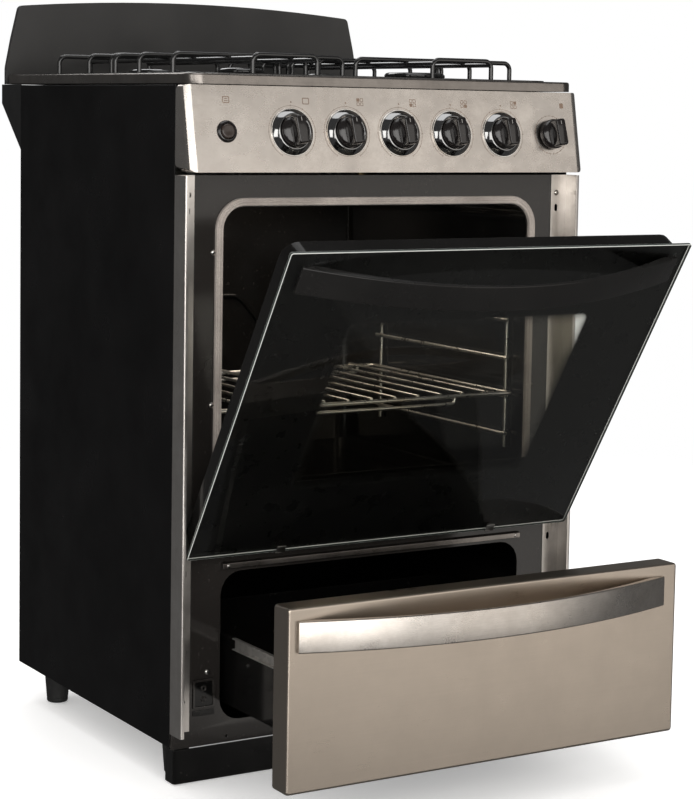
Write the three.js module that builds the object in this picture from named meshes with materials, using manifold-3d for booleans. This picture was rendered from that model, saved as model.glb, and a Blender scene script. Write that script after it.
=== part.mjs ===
// Freestanding gas range with four burners, an oven and a storage drawer.
// Millimetres, +Z up, the front faces -Y. The cabinet is drawn with y = 0 at the front edge of the
// side panels; the last lines move the whole range over the origin. It rests with the oven door
// ajar by DOOR_AJAR degrees and the storage drawer pulled out by DRAWER_OUT.

import * as THREE from 'three';
import { mergeVertices } from 'three/addons/utils/BufferGeometryUtils.js';
import Module from 'manifold-3d';

const wasm = await Module();
wasm.setup();

// ---- Driving dimensions ----

const GAP = 0.3;
const SHEET = 1.2;

const HALF_WIDTH = 280;
const CABINET_DEPTH = 454;
const CABINET_BOTTOM = 45;
const CABINET_TOP = 821;

const FRAME_FRONT = -2;
const FRAME_BACK = -0.6;
const FRAME_HALF = 254.6;
const FRAME_BOTTOM = 42.5;
const FRAME_TOP = 718;
const TRIM_BOTTOM = 62;
const TRIM_FRONT = -28;

const OVEN = { half: 217.6, bottom: 306, top: 681, back: 430, corner: 27 };
const GASKET_WIDTH = 9.5;
const GASKET_FRONT = -7.7;

const BAY = { half: 215, bottom: 69, top: 249, back: 435, corner: 27 };

const PANEL = { bottom: 722, top: 822, frontBottom: -38, frontTop: -19.5 };
const PANEL_LEAN = Math.atan2(PANEL.frontTop - PANEL.frontBottom, PANEL.top - PANEL.bottom);
const KNOB_HEIGHT = 768.8;
const KNOB_PITCH = 74.7;
const FIRST_KNOB_X = -142.1;
const BUTTON_X = -228.5;
const KNOB_RADIUS = 18.6;
const GAS_KNOBS = 5;

const COOKTOP = { half: 274, front: -22, back: 512, bottom: 823, top: 835, corner: 20 };
const TRAY = { half: 254, front: -3, back: 481, floor: 825.3, lip: 1.2, corner: 32 };
const GRATE = {
  centre: 126.5,
  halfSpan: 117,
  wire: 2.9,
  hoopHalf: 44,
  front: 17,
  back: 473,
  top: 862,
};
const GRATE_BARS = [80, 171, 239, 250, 317, 411];
const BURNER_ROWS = [126, 364];
const BURNERS = [
  { name: 'front_left', x: -127, y: BURNER_ROWS[0], radius: 29 },
  { name: 'front_right', x: 127, y: BURNER_ROWS[0], radius: 39 },
  { name: 'rear_left', x: -127, y: BURNER_ROWS[1], radius: 36 },
  { name: 'rear_right', x: 127, y: BURNER_ROWS[1], radius: 22 },
];

const BACKGUARD = {
  half: 276,
  shoulder: 257.5,
  shoulderZ: 928,
  peak: 940,
  front: 512.4,
  back: 520,
  bottom: 822.4,
};
const REAR_REACH = 520;

const DOOR = { half: 272.4, height: 439.6, glass: 4, depth: 30 };
const DOOR_AJAR = 32.16;
const HINGE = { y: -26, z: 295.3, behindFace: 12, aboveEdge: 19.8, bracketX: 240 };
const WINDOW = { half: 196, bottom: 72, top: 345 };

const DRAWER = { half: 267.6, bottom: 57, top: 262.6, front: -38.6, back: -8.6 };
const DRAWER_OUT = 216.2;
const DRAWER_TUB = { half: 205, bottom: 88.5, top: 172, length: 395 };
const RUNNER = { bottom: 160, top: 174, out: 210.5, length: 201, railEnd: 385 };

const DOOR_HANDLE = { half: 255, bottom: 369.7, top: 403.7, bow: 45, thickness: 4 };
const DRAWER_HANDLE = { half: 251, bottom: 213.5, top: 248.5, bow: 42, thickness: 4, shift: -5 };

const RACK_LEVELS = [384, 433, 482, 531];
const GUIDE = { x: 213.5, front: 30, back: 331, bottom: 366, top: 540, wire: 2.4 };

// ---- Finishes ----

const finish = (color, roughness, metalness) => () =>
  new THREE.MeshStandardMaterial({ color, roughness, metalness });

const blackPaint = finish(0x141314, 0.45, 0.1);
const blackEnamel = finish(0x1b1a1a, 0.15, 0.05);
const stainless = finish(0xa89c90, 0.34, 1);
const galvanised = finish(0x9a9c9e, 0.5, 0.9);
const chrome = finish(0xd8d8d8, 0.12, 1);
const aluminium = finish(0x8f8f8c, 0.5, 1);
const brass = finish(0xb08d4f, 0.4, 1);
const blackPlastic = finish(0x151518, 0.2, 0);
const blackGlass = finish(0x0c0c0d, 0.05, 0);
const clearGlass = finish(0x30302e, 0.05, 0);
const sealCord = finish(0x97928c, 0.6, 0.4);

// ---- Solids: joining and cutting ----

function toSolid(geometry) {
  const bare = geometry.clone();
  bare.deleteAttribute('normal');
  bare.deleteAttribute('uv');
  const welded = mergeVertices(bare, 1e-3);
  const corners = welded.index.array;
  const kept = [];
  for (let i = 0; i < corners.length; i += 3) {
    const [a, b, c] = corners.slice(i, i + 3);
    if (a !== b && b !== c && c !== a) kept.push(a, b, c);
  }
  const vertProperties = new Float32Array(welded.attributes.position.array);
  return new wasm.Manifold(new wasm.Mesh({ numProp: 3, vertProperties, triVerts: new Uint32Array(kept) }));
}

function toGeometry(solid) {
  const mesh = solid.getMesh();
  const geometry = new THREE.BufferGeometry();
  geometry.setAttribute('position', new THREE.BufferAttribute(mesh.vertProperties, 3));
  geometry.setIndex(new THREE.BufferAttribute(mesh.triVerts, 1));
  geometry.computeVertexNormals();
  return geometry;
}

function join(first, ...others) {
  return toGeometry(others.reduce((sum, other) => sum.add(toSolid(other)), toSolid(first)));
}

function cut(body, ...tools) {
  return toGeometry(tools.reduce((rest, tool) => rest.subtract(toSolid(tool)), toSolid(body)));
}

function overlapOf(first, second) {
  return toGeometry(toSolid(first).intersect(toSolid(second)));
}

// ---- Outlines and paths ----

// Rounds the corners [x, y, z, radius] of a path, or of a closed outline, with true arcs.
function roundCorners(corners, closed, arcSteps = 5) {
  const count = corners.length;
  const place = (i) => new THREE.Vector3(...corners[(i + count) % count].slice(0, 3));
  const points = [];
  for (let i = 0; i < count; i += 1) {
    const corner = place(i);
    const radius = corners[i][3] ?? 0;
    const isEnd = !closed && (i === 0 || i === count - 1);
    if (radius === 0 || isEnd) {
      points.push(corner);
      continue;
    }
    const arriving = corner.clone().sub(place(i - 1)).normalize();
    const leaving = place(i + 1).sub(corner).normalize();
    const turn = arriving.angleTo(leaving);
    const inward = leaving.clone().addScaledVector(arriving, -arriving.dot(leaving)).normalize();
    const start = corner.clone().addScaledVector(arriving, -radius * Math.tan(turn / 2));
    const centre = start.clone().addScaledVector(inward, radius);
    for (let step = 0; step <= arcSteps; step += 1) {
      const angle = (turn * step) / arcSteps;
      const point = centre.clone();
      point.addScaledVector(inward, -radius * Math.cos(angle));
      point.addScaledVector(arriving, radius * Math.sin(angle));
      points.push(point);
    }
  }
  return points;
}

// A flat outline from [u, v, radius] corners.
function outline(corners, arcSteps) {
  const points = roundCorners(corners.map(([u, v, radius]) => [u, v, 0, radius]), true, arcSteps);
  return new THREE.Shape(points.map((point) => new THREE.Vector2(point.x, point.y)));
}

function rectangle(u0, v0, u1, v1, radius = 0, arcSteps = 5) {
  return outline([[u0, v0, radius], [u1, v0, radius], [u1, v1, radius], [u0, v1, radius]], arcSteps);
}

function circle(u, v, radius, sides = 16) {
  const points = [];
  for (let i = 0; i < sides; i += 1) {
    const angle = (2 * Math.PI * i) / sides;
    points.push(new THREE.Vector2(u + radius * Math.cos(angle), v + radius * Math.sin(angle)));
  }
  return new THREE.Shape(points);
}

function withHoles(shape, holes) {
  shape.holes.push(...holes);
  return shape;
}

// ---- Extrusions along the three axes ----

function extrude(shape, depth, options = {}) {
  return new THREE.ExtrudeGeometry(shape, { depth, bevelEnabled: false, ...options });
}

// Outline in x and y.
function plan(shape, zLow, zHigh) {
  return extrude(shape, zHigh - zLow).translate(0, 0, zLow);
}

// Outline in x and z.
function front(shape, yFront, yBack) {
  return extrude(shape, yBack - yFront).rotateX(Math.PI / 2).translate(0, yBack, 0);
}

// Outline in y and z.
function side(shape, xLeft, xRight) {
  return extrude(shape, xRight - xLeft).rotateX(Math.PI / 2).rotateZ(Math.PI / 2).translate(xLeft, 0, 0);
}

function block(x0, x1, y0, y1, z0, z1) {
  const geometry = new THREE.BoxGeometry(x1 - x0, y1 - y0, z1 - z0);
  return geometry.translate((x0 + x1) / 2, (y0 + y1) / 2, (z0 + z1) / 2);
}

// A body of revolution about Z from [radius, z] points.
function turned(points, sides = 20) {
  const profile = points.map(([radius, z]) => new THREE.Vector2(radius, z));
  return new THREE.LatheGeometry(profile, sides).rotateX(Math.PI / 2);
}

// ---- Bent wire and pipe ----

class BentPath extends THREE.Curve {
  constructor(points) {
    super();
    this.points = points;
    this.last = points.length - 1;
  }

  getPointAt(u, target = new THREE.Vector3()) {
    return target.copy(this.points[Math.round(u * this.last)]);
  }

  getTangentAt(u, target = new THREE.Vector3()) {
    const index = Math.round(u * this.last);
    const before = this.points[Math.max(index - 1, 0)];
    const after = this.points[Math.min(index + 1, this.last)];
    return target.subVectors(after, before).normalize();
  }
}

function bentWire(corners, radius, sides = 6, arcSteps = 3) {
  const path = new BentPath(roundCorners(corners, false, arcSteps));
  return new THREE.ExtrudeGeometry(circle(0, 0, radius, sides), { steps: path.last, extrudePath: path });
}

// ---- Cabinet ----

function sidePanel(sign) {
  const flange = 14;
  const corners = [
    [HALF_WIDTH, 0],
    [HALF_WIDTH, CABINET_DEPTH],
    [HALF_WIDTH - flange, CABINET_DEPTH],
    [HALF_WIDTH - flange, CABINET_DEPTH - SHEET],
    [HALF_WIDTH - SHEET, CABINET_DEPTH - SHEET],
    [HALF_WIDTH - SHEET, 0],
  ];
  return plan(outline(corners.map(([x, y]) => [sign * x, y])), CABINET_BOTTOM, CABINET_TOP);
}

const PIPE = { x: 256, exitZ: 705, radius: 8 };

function backPanel() {
  const half = HALF_WIDTH - SHEET - GAP * 2;
  const yBack = CABINET_DEPTH - SHEET - GAP;
  const slots = [];
  for (let row = 0; row < 6; row += 1) {
    const z = 380 + row * 22;
    slots.push(rectangle(-90, z, -20, z + 7, 3, 1), rectangle(20, z, 90, z + 7, 3, 1));
  }
  const fluePort = rectangle(-70, 752, 70, 786, 8, 1);
  const shape = rectangle(-half, CABINET_BOTTOM + 3, half, CABINET_TOP - 2);
  withHoles(shape, [...slots, fluePort, circle(PIPE.x, PIPE.exitZ, PIPE.radius + 3)]);
  return front(shape, yBack - SHEET, yBack);
}

function basePan() {
  const half = HALF_WIDTH - SHEET - GAP * 2;
  const yBack = CABINET_DEPTH - SHEET * 2 - GAP * 3;
  const slots = [];
  for (let row = 0; row < 4; row += 1) {
    const y = 160 + row * 40;
    slots.push(rectangle(-70, y, 70, y + 10, 4, 1));
  }
  const shape = withHoles(rectangle(-half, GAP, half, yBack), slots);
  return plan(shape, CABINET_BOTTOM, CABINET_BOTTOM + SHEET);
}

const KICK = { half: 276, front: -4.4, back: 18, bottom: 1, top: 42 };

function kickPlate() {
  const { half, front: yFront, back: yBack } = KICK;
  const inner = half - SHEET;
  const shape = outline([
    [-half, yBack],
    [-half, yFront, 4],
    [half, yFront, 4],
    [half, yBack],
    [inner, yBack],
    [inner, yFront + SHEET, 3],
    [-inner, yFront + SHEET, 3],
    [-inner, yBack],
  ]);
  return plan(shape, KICK.bottom, KICK.top);
}

function foot() {
  const top = CABINET_BOTTOM - GAP;
  return turned([[0, 0], [12.5, 0], [14, 1.5], [17, top - 5], [17, top], [0, top]], 20);
}

function frontFrame() {
  const wing = HALF_WIDTH - 1;
  const shape = outline([
    [-wing, FRAME_BOTTOM],
    [wing, FRAME_BOTTOM],
    [wing, TRIM_BOTTOM - GAP],
    [FRAME_HALF, TRIM_BOTTOM - GAP],
    [FRAME_HALF, FRAME_TOP],
    [-FRAME_HALF, FRAME_TOP],
    [-FRAME_HALF, TRIM_BOTTOM - GAP],
    [-wing, TRIM_BOTTOM - GAP],
  ]);
  const ovenMouth = rectangle(-OVEN.half, OVEN.bottom, OVEN.half, OVEN.top, OVEN.corner);
  const bayMouth = rectangle(-BAY.half, BAY.bottom, BAY.half, BAY.top, BAY.corner);
  const screwHoles = [[230, 628], [230, 449], [232, 131], [205, 50]];
  const holes = screwHoles.flatMap(([x, z]) => [circle(-x, z, 1.6, 8), circle(x, z, 1.6, 8)]);
  return front(withHoles(shape, [ovenMouth, bayMouth, ...holes]), FRAME_FRONT, FRAME_BACK);
}

// A channel beside the front frame: recessed flange, outer wall and a narrow return lip.
function sideTrim(sign) {
  const lip = 4;
  const corners = [
    [FRAME_HALF + 0.4, FRAME_FRONT],
    [HALF_WIDTH - SHEET, FRAME_FRONT],
    [HALF_WIDTH - SHEET, TRIM_FRONT + SHEET],
    [HALF_WIDTH - SHEET - lip, TRIM_FRONT + SHEET],
    [HALF_WIDTH - SHEET - lip, TRIM_FRONT],
    [HALF_WIDTH, TRIM_FRONT, 2],
    [HALF_WIDTH, FRAME_BACK],
    [FRAME_HALF + 0.4, FRAME_BACK],
  ];
  const channel = plan(outline(corners.map(([x, y, r]) => [sign * x, y, r]), 3), TRIM_BOTTOM, FRAME_TOP);
  const x = sign * 263;
  const through = (shape) => front(shape, FRAME_FRONT - 1, FRAME_BACK + 1);
  const hole = (z) => through(circle(x, z, 2.4, 10));
  const slot = (z) => through(rectangle(x - 2.3, z - 5, x + 2.3, z + 5, 2, 1));
  return cut(channel, hole(695), slot(676), slot(251), hole(98));
}

function rearBracket() {
  const wall = 1.5;
  const yFront = CABINET_DEPTH + GAP;
  const profile = (inset) => outline([
    [yFront - inset * 4, 736 + inset * 1.3],
    [yFront, 736 + inset * 1.3],
    [REAR_REACH - inset, 797 + inset * 0.6],
    [REAR_REACH - inset, CABINET_TOP + 1 + inset * 8],
    [yFront - inset * 4, CABINET_TOP + 1 + inset * 8],
  ]);
  const half = HALF_WIDTH - GAP;
  const solid = side(profile(0), -half, half);
  return cut(solid, side(profile(wall), -half + wall, half - wall));
}

// ---- Control panel ----

// Sheet box open at the back: round vertical edges, a face that leans back by PANEL_LEAN.
function panelBody(inset) {
  const half = HALF_WIDTH - inset;
  const yBack = inset > 0 ? 4 : FRAME_BACK;
  const yFront = PANEL.frontBottom + inset;
  const low = PANEL.bottom + inset;
  const high = PANEL.top - inset;
  const radius = 12 - inset;
  const body = plan(outline([
    [-half, yBack],
    [-half, yFront, radius],
    [half, yFront, radius],
    [half, yBack],
  ], 5), low, high);
  const position = body.attributes.position;
  for (let i = 0; i < position.count; i += 1) {
    if (position.getY(i) < yFront + 15) {
      const rise = position.getZ(i) - PANEL.bottom;
      position.setY(i, position.getY(i) + rise * Math.tan(PANEL_LEAN));
    }
  }
  const face = outline([
    [-half, low, 10 - inset],
    [half, low, 10 - inset],
    [half, high, 7 - inset],
    [-half, high, 7 - inset],
  ], 4);
  return overlapOf(body, front(face, PANEL.frontBottom - 10, 10));
}

// The place on the leaning face, at knob height.
function faceStation(x) {
  const station = new THREE.Group();
  const y = PANEL.frontBottom + (KNOB_HEIGHT - PANEL.bottom) * Math.tan(PANEL_LEAN);
  station.position.set(x, y, KNOB_HEIGHT);
  station.rotation.x = Math.PI / 2 - PANEL_LEAN;
  station.updateMatrixWorld();
  return station;
}

const knobX = (index) => FIRST_KNOB_X + index * KNOB_PITCH;

function controlPanel() {
  const shell = cut(panelBody(0), panelBody(1.4));
  const drills = [];
  for (let index = 0; index <= GAS_KNOBS; index += 1) {
    drills.push(plan(circle(0, 0, 5.2, 14), -12, 12).applyMatrix4(faceStation(knobX(index)).matrixWorld));
  }
  drills.push(plan(circle(0, 0, 9.4, 20), -12, 12).applyMatrix4(faceStation(BUTTON_X).matrixWorld));
  return cut(shell, ...drills);
}

function knobStem() {
  return turned([[0, -17], [3.8, -17], [3.8, 11], [0, 11]], 12);
}

// Round skirt with a grip bar across it.
function knobBody() {
  const rim = KNOB_RADIUS;
  const skirt = turned([[0, 3.6], [rim, 3.6], [rim, 10], [rim - 2.2, 14], [0, 14]], 24);
  const bar = overlapOf(
    plan(rectangle(-6.6, -17.4, 6.6, 17.4, 3, 3), 8, 26),
    turned([[0, 8], [17.6, 8], [17.2, 20], [14.5, 24.6], [0, 26]], 24),
  );
  return join(skirt, bar);
}

// Bored to slide 3 mm down its stem.
function gasKnob() {
  return cut(knobBody(), plan(circle(0, 0, 4.1, 12), 2, 15));
}

// The timer knob has no separate stem: its own spindle runs through the panel.
function timerKnob() {
  return join(knobBody(), turned([[0, -16], [3.8, -16], [3.8, 12], [0, 12]], 12));
}

function ignitionButton() {
  return turned([[0, -12], [8.8, -12], [8.8, 3.2], [7.8, 4.6], [0, 4.2]], 24);
}

// Supply pipe behind the panel with one tap per gas knob and the inlet at the back.
function gasManifold() {
  const yPipe = 24;
  const zPipe = 759;
  const run = bentWire([
    [knobX(0) - 25, yPipe, zPipe],
    [PIPE.x, yPipe, zPipe, 18],
    [PIPE.x, 425, zPipe, 18],
    [PIPE.x, 425, PIPE.exitZ, 18],
    [PIPE.x, 486, PIPE.exitZ],
  ], PIPE.radius, 8, 3);
  const inlet = turned([[0, 0], [11, 0], [11, 12], [0, 12]], 6).rotateX(-Math.PI / 2);
  inlet.translate(PIPE.x, 472, PIPE.exitZ);
  const taps = [];
  for (let index = 0; index < GAS_KNOBS; index += 1) {
    const tap = turned([[0, -52], [10, -52], [10, -28], [7, -24], [7, -17.6], [0, -17.6]], 8);
    taps.push(tap.applyMatrix4(faceStation(knobX(index)).matrixWorld));
  }
  return join(run, inlet, ...taps);
}

// ---- Cooktop ----

// Round corners at the front, nearly square ones at the back.
function rimOutline(half, yFront, yBack, corner) {
  return outline([
    [-half, yFront, corner],
    [half, yFront, corner],
    [half, yBack, 3],
    [-half, yBack, 3],
  ], 6);
}

function cooktop() {
  const { half, front: yFront, back: yBack, bottom, top, corner } = COOKTOP;
  const edge = 2.4;
  const bevel = { bevelEnabled: true, bevelThickness: edge, bevelSize: edge, bevelOffset: -edge };
  const pressed = extrude(
    rimOutline(half, yFront, yBack, corner),
    top - bottom + 8 - edge * 2,
    { ...bevel, bevelSegments: 2 },
  ).translate(0, 0, bottom - 8 + edge);
  const under = plan(
    rimOutline(half - SHEET, yFront + SHEET, yBack - SHEET, corner - SHEET),
    bottom - 12,
    top - SHEET,
  );
  const below = block(-half - 9, half + 9, yFront - 9, yBack + 9, bottom - 20, bottom);
  const trayMouth = plan(
    rectangle(-TRAY.half + 3, TRAY.front + 3, TRAY.half - 3, TRAY.back - 3, TRAY.corner - 3),
    bottom,
    top + 5,
  );
  const vents = [-150, -90, -30, 30, 90, 150].map((x) => (
    plan(rectangle(x - 22, 486.5, x + 22, 492.5), bottom, top + 5)
  ));
  return cut(pressed, under, below, trayMouth, ...vents);
}

function hobTray() {
  const { half, front: yFront, back: yBack, floor, lip, corner } = TRAY;
  const wellAt = (inset, zLow, zHigh) => plan(
    rectangle(-half + inset, yFront + inset, half - inset, yBack - inset, corner - inset),
    zLow,
    zHigh,
  );
  const lipLow = COOKTOP.top + GAP;
  const holes = BURNERS.map(({ x, y }) => plan(circle(x, y, 15.5, 18), floor - 5, floor + 5));
  const pressed = join(wellAt(3.6, floor, lipLow + lip), wellAt(0, lipLow, lipLow + lip));
  return cut(pressed, wellAt(3.6 + SHEET, floor + SHEET, lipLow + 5), ...holes);
}

const TRAY_SURFACE = TRAY.floor + SHEET + GAP;

function burnerHead(radius) {
  const base = TRAY_SURFACE;
  return turned([
    [0, base - 24],
    [15, base - 24],
    [15, base],
    [19.5, base],
    [19.5, base + 2.5],
    [radius - 2.5, base + 4.5],
    [radius - 1, base + 11.5],
    [0, base + 11.5],
  ]);
}

function burnerCap(radius) {
  const base = TRAY_SURFACE + 11.5 + GAP;
  return turned([
    [0, base],
    [radius, base],
    [radius, base + 3],
    [radius - 3.5, base + 5.6],
    [0, base + 6.2],
  ]);
}

// Bent wire pan support over two burners: bars across with both ends bent down to a foot, two
// wires along under them, and a hoop at the front and the back that the wires end on.
function grate(sign) {
  const { centre, halfSpan, wire, hoopHalf, front: yFront, back: yBack, top } = GRATE;
  const foot = TRAY_SURFACE + 0.2;
  const acrossZ = top - wire;
  const alongZ = acrossZ - wire * 2 + 1.2;
  const bend = 9;
  const hoop = (y, reach, z) => [
    [sign * centre - reach, y, foot],
    [sign * centre - reach, y, z, bend],
    [sign * centre + reach, y, z, bend],
    [sign * centre + reach, y, foot],
  ];
  const bars = GRATE_BARS.map((y) => hoop(y, halfSpan, acrossZ));
  for (const y of [yFront, yBack]) bars.push(hoop(y, hoopHalf, acrossZ));
  for (const offset of [-1, 1]) {
    const x = sign * centre + offset * (hoopHalf - 1);
    bars.push([[x, yFront - 1, alongZ], [x, yBack + 1, alongZ]]);
  }
  return join(...bars.map((corners) => bentWire(corners, wire)));
}

// Sides lean in towards rounded shoulders; the top is a shallow arch.
function backguardOutline(inset) {
  const { half, shoulder, shoulderZ, peak, bottom } = BACKGUARD;
  const edge = (x, z, radius) => [x - Math.sign(x) * inset, z, radius];
  const corners = [
    edge(-half, bottom + inset),
    edge(half, bottom + inset),
    edge(half, bottom + 22, 30),
    edge(half - 8, bottom + 62, 60),
    edge(shoulder, shoulderZ - inset, 7),
  ];
  const reach = 240;
  for (let step = 0; step <= 14; step += 1) {
    const x = reach - (2 * reach * step) / 14;
    corners.push([x, peak - inset - (peak - shoulderZ) * (x / shoulder) ** 2]);
  }
  corners.push(
    edge(-shoulder, shoulderZ - inset, 7),
    edge(8 - half, bottom + 62, 60),
    edge(-half, bottom + 22, 30),
  );
  return outline(corners);
}

function backguard() {
  const shell = front(backguardOutline(0), BACKGUARD.front, BACKGUARD.back);
  const hollow = front(backguardOutline(SHEET), BACKGUARD.front + SHEET, BACKGUARD.back + 5);
  return cut(shell, hollow);
}

// ---- Oven ----

function ovenOutline(grow) {
  return rectangle(
    -OVEN.half - grow,
    OVEN.bottom - grow,
    OVEN.half + grow,
    OVEN.top + grow,
    OVEN.corner + grow,
  );
}

function ovenLiner() {
  const shell = front(ovenOutline(SHEET), FRAME_BACK + GAP, OVEN.back);
  return cut(shell, front(ovenOutline(0), FRAME_BACK - 5, OVEN.back - SHEET));
}

function ovenGasket() {
  const ring = withHoles(ovenOutline(1 + GASKET_WIDTH), [ovenOutline(1)]);
  return front(ring, GASKET_FRONT, FRAME_FRONT - GAP);
}

function ovenFloor() {
  const half = OVEN.half - 4;
  const top = OVEN.bottom + 18;
  const rest = OVEN.bottom + GAP;
  const inset = 26;
  const shape = outline([
    [-half, top - SHEET],
    [-half + inset, top - SHEET],
    [-half + inset, rest],
    [-half + inset + SHEET, rest],
    [-half + inset + SHEET, top - SHEET],
    [half - inset - SHEET, top - SHEET],
    [half - inset - SHEET, rest],
    [half - inset, rest],
    [half - inset, top - SHEET],
    [half, top - SHEET],
    [half, top],
    [-half, top],
  ]);
  const slots = [];
  for (const sign of [-1, 1]) {
    for (let index = 0; index < 6; index += 1) {
      const y = 60 + index * 58;
      slots.push(plan(rectangle(sign * 150 - 5, y, sign * 150 + 5, y + 36), rest, top + 3));
    }
  }
  return cut(front(shape, 8, OVEN.back - 8), ...slots);
}

function ovenBurner() {
  const z = OVEN.bottom + 8.6;
  const half = 120;
  return bentWire([
    [-half, 370, z],
    [-half, 60, z, 30],
    [half, 60, z, 30],
    [half, 370, z],
  ], 7, 8, 4);
}

function rackGuide(sign) {
  const { x, front: yFront, back: yBack, bottom, top, wire } = GUIDE;
  const upright = (y) => bentWire([[sign * x, y, bottom], [sign * x, y, top]], wire);
  const rungX = sign * (x - wire * 2 + 1);
  const rungs = RACK_LEVELS.map((z) => bentWire([[rungX, yFront - 8, z], [rungX, yBack + 8, z]], wire));
  return join(upright(yFront), upright(yBack), ...rungs);
}

function ovenRack() {
  const wire = 2.6;
  const half = 207.8;
  const yFront = 14;
  const yBack = 345;
  const z = RACK_LEVELS[1] + GUIDE.wire + GAP + wire;
  const parts = [
    bentWire([[-half, yFront, z], [-half, yBack, z, 12], [half, yBack, z, 12], [half, yFront, z]], wire),
    bentWire([[-half - 2, yFront, z], [half + 2, yFront, z]], wire + 0.1),
  ];
  const bars = 11;
  for (let index = 0; index < bars; index += 1) {
    const x = (index - (bars - 1) / 2) * 34;
    parts.push(bentWire([[x, yFront - 1, z + 3.4], [x, yBack + 1, z + 3.4]], 2));
  }
  const grip = (y, reach) => bentWire([
    [-reach, y, z],
    [-reach, y, z - 9.5, 5],
    [reach, y, z - 9.5, 5],
    [reach, y, z],
  ], 2.2);
  parts.push(grip(yFront + 0.4, 124), grip(yBack - 0.4, 182));
  return join(...parts);
}

function dripRail() {
  const profile = outline([[FRAME_FRONT - GAP, 253], [-8, 253.8], [-8, 260], [FRAME_FRONT - GAP, 261.6]]);
  return side(profile, -215, 215);
}

function hingeBracket(sign) {
  const eye = 6.5;
  const wall = FRAME_FRONT - GAP - HINGE.y;
  const arm = outline([
    [-eye, -eye, eye - 0.01],
    [wall, -eye],
    [wall, 15],
    [8, eye + 3],
    [-eye, eye, eye - 0.6],
  ], 5);
  const eyeHole = circle(0, 0, 3.3, 14);
  const x = sign * HINGE.bracketX;
  const web = side(withHoles(arm, [eyeHole]), x - 1.5, x + 1.5);
  const flange = block(x - 9, x + 9, wall - 1.6, wall, -eye, 15);
  return join(web, flange).translate(0, HINGE.y, HINGE.z);
}

// ---- Storage bay and drawer ----

function drawerWell() {
  const wall = 5;
  const half = BAY.half + wall;
  const low = BAY.bottom - wall;
  const high = BAY.top + wall;
  const shell = front(rectangle(-half - SHEET, low - SHEET, half + SHEET, high + SHEET), 0, BAY.back);
  const hollow = front(rectangle(-half, low, half, high), -5, BAY.back - SHEET);
  const rail = (sign) => {
    const x = [sign * (half + 0.5), sign * (RUNNER.out - 2.5)].sort((a, b) => a - b);
    return block(x[0], x[1], 6, 400, RUNNER.bottom + 3.5, RUNNER.top - 3.5);
  };
  return join(cut(shell, hollow), rail(-1), rail(1));
}

function drawerFront() {
  const { half, bottom, top, front: yFront, back: yBack } = DRAWER;
  const edge = 2.5;
  const solid = extrude(rectangle(-half, bottom, half, top, 4, 3), yBack - yFront, {
    bevelEnabled: true,
    bevelThickness: edge,
    bevelSize: edge,
    bevelOffset: -edge,
    bevelSegments: 3,
  }).rotateX(Math.PI / 2).translate(0, yBack + edge, 0);
  const trimmed = cut(solid, block(-half - 5, half + 5, yBack, yBack + 20, bottom - 5, top + 5));
  const hollow = rectangle(-half + SHEET, bottom + SHEET, half - SHEET, top - SHEET, 3, 3);
  return cut(trimmed, front(hollow, yFront + SHEET, yBack + 5));
}

// C section that runs over the fixed rail of the storage bay.
function runnerSection(sign, inner) {
  return outline([
    [inner, RUNNER.bottom],
    [RUNNER.out, RUNNER.bottom],
    [RUNNER.out, RUNNER.bottom + SHEET],
    [inner + SHEET, RUNNER.bottom + SHEET],
    [inner + SHEET, RUNNER.top - SHEET],
    [RUNNER.out, RUNNER.top - SHEET],
    [RUNNER.out, RUNNER.top],
    [inner, RUNNER.top],
  ].map(([x, z]) => [sign * x, z]));
}

// The tub carries the rear half of each runner; the front half is a bright strip screwed on.
function drawerTub() {
  const { half, bottom, top, length } = DRAWER_TUB;
  const yFront = DRAWER.back + GAP;
  const outer = block(-half, half, yFront, yFront + length, bottom, top);
  const inner = block(
    -half + SHEET,
    half - SHEET,
    yFront + SHEET,
    yFront + length - SHEET,
    bottom + SHEET,
    top + 5,
  );
  const rail = (sign) => (
    front(runnerSection(sign, half - 0.5), yFront + RUNNER.length + GAP, yFront + RUNNER.railEnd)
  );
  return join(cut(outer, inner), rail(-1), rail(1));
}

function drawerRunner(sign) {
  const yFront = DRAWER.back + GAP;
  return front(runnerSection(sign, DRAWER_TUB.half + GAP), yFront, yFront + RUNNER.length);
}

// ---- Handles: flat straps bowed away from the face ----

function bowedHandle({ half, bottom, top, bow, thickness }, yFace) {
  const steps = 22;
  const outer = [];
  const inner = [];
  for (let step = 0; step <= steps; step += 1) {
    const x = -half + (2 * half * step) / steps;
    const reach = bow * (1 - (x / half) ** 2);
    outer.push([x, yFace - GAP - thickness - reach]);
    const insideX = x * (1 - 18 / half);
    inner.push([insideX, yFace - GAP - Math.max(0, bow * (1 - (insideX / (half - 18)) ** 2))]);
  }
  const pads = [[half, yFace - GAP]];
  return plan(outline([...outer, ...pads, ...inner.reverse(), [-half, yFace - GAP]]), bottom, top);
}

// ---- Oven door, drawn shut about its hinge line ----

const DOOR_FACE = -HINGE.behindFace;
const DOOR_EDGE = -HINGE.aboveEdge;
const DOOR_TOP = DOOR_EDGE + DOOR.height;

function doorGlass() {
  const shape = rectangle(-DOOR.half, DOOR_EDGE, DOOR.half, DOOR_TOP, 3, 3);
  return front(shape, DOOR_FACE, DOOR_FACE + DOOR.glass);
}

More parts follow.
